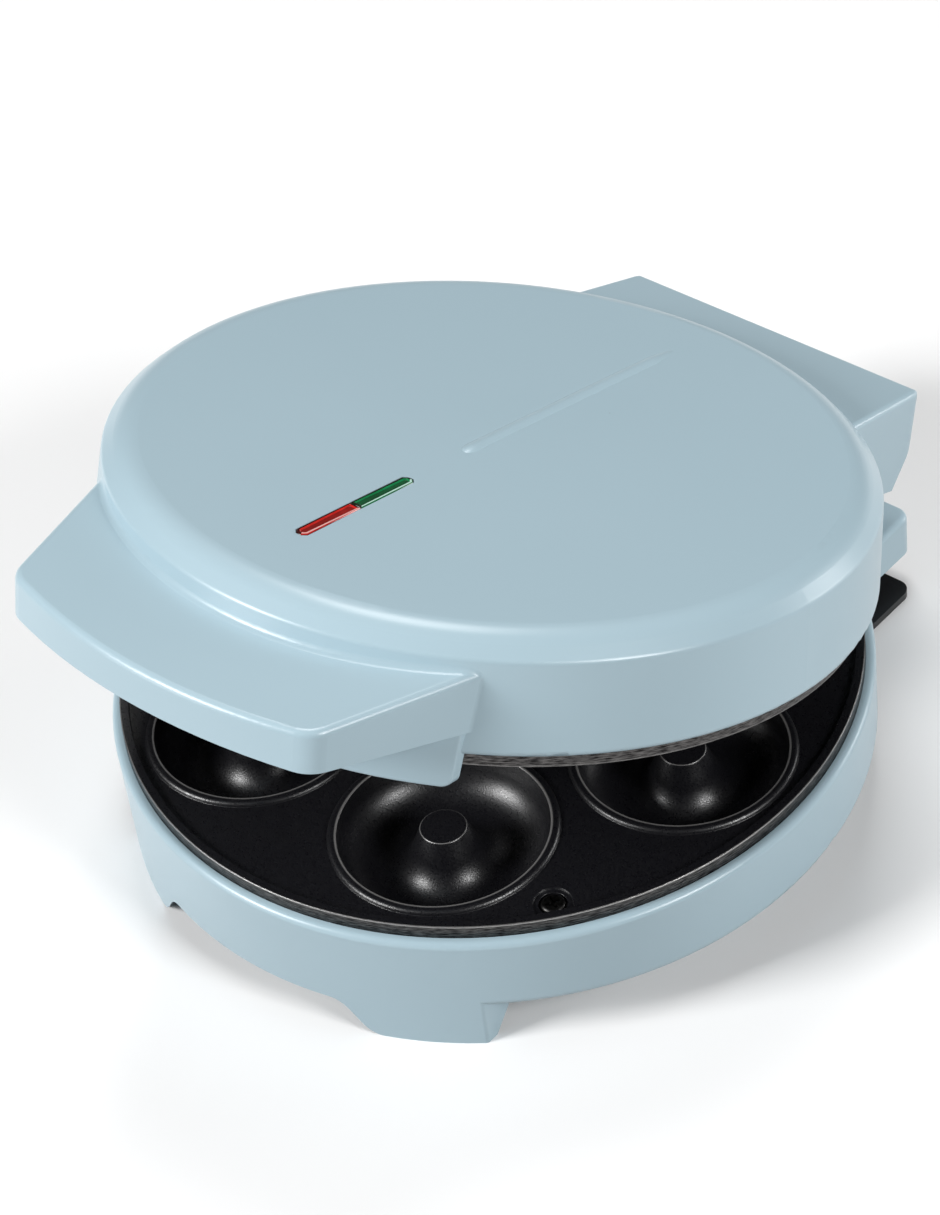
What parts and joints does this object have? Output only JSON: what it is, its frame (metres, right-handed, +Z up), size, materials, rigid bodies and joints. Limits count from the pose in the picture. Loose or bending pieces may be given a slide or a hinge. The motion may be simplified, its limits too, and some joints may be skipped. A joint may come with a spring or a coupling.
{
  "type": "donut maker",
  "caption": "Round electric donut maker with a hinged lid, ring moulds in two cooking plates, a front handle, indicator lenses and a rear stand for winding the cord.",
  "frame": {"origin": "on the table, under the middle of the whole object at rest", "axes": "+X to the user's right as the user faces the handle side, +Y from the handle to the hinge, +Z up"},
  "size_m": [0.224, 0.2698, 0.1404],
  "materials": {
    "blue_plastic": "satin-gloss moulded plastic, pastel blue",
    "black_plastic": "matte black moulded plastic",
    "nonstick_aluminium": "cast aluminium with a black non-stick coating",
    "steel": "plated steel",
    "element_steel": "dull sheathed heating tube",
    "fuse_steel": "plain metal case",
    "white_block": "heat-resistant off-white block",
    "wire_insulation": "heat-resistant wire insulation",
    "black_sleeve": "woven black sleeve",
    "pad_rubber": "soft matte rubber",
    "washer_plastic": "plain washer",
    "red_lens": "clear red plastic",
    "green_lens": "clear green plastic",
    "lamp_glass": "small glass lamp"
  },
  "bodies": {
    "base": {"base_housing": "blue_plastic", "lower_cooking_plate": "nonstick_aluminium", "lower_plate_screws": "steel", "lower_heating_element": "element_steel", "lower_element_clamps": "steel", "lower_clamp_screws": "steel", "lower_heat_shield": "steel", "thermal_fuse": "fuse_steel", "terminal_block": "white_block", "base_wiring": "wire_insulation", "base_lead_sleeve": "black_sleeve", "cord_inlet_bush": "black_plastic", "cord_wrap": "black_plastic", "cord_wrap_screws": "steel", "rear_foot_pads": "pad_rubber", "hinge_pins": "steel", "hinge_washers": "washer_plastic"},
    "lid": {"lid_shell": "blue_plastic", "handle_underside": "blue_plastic", "handle_screws": "steel", "hinge_cover": "black_plastic", "hinge_cover_screws": "steel", "hinge_pin_caps": "black_plastic", "upper_cooking_plate": "nonstick_aluminium", "upper_plate_screws": "steel", "upper_heating_element": "element_steel", "upper_element_clamps": "steel", "upper_clamp_screws": "steel", "upper_heat_shield": "steel", "thermostat": "fuse_steel", "lid_terminal_block": "white_block", "lid_lead_sleeve": "black_sleeve", "lid_wiring": "wire_insulation", "red_lens": "red_lens", "green_lens": "green_lens", "lamp_holder": "black_plastic", "lamp_holder_screws": "steel", "red_lamp": "lamp_glass", "green_lamp": "lamp_glass"}
  },
  "joints": [
    {"name": "lid_hinge", "type": "hinge", "parent": "base", "child": "lid", "pos_m": [0, 0.1165, 0.0482], "axis": [-1, 0, 0], "range_deg": [-14.73, 80.27]}
  ]
}
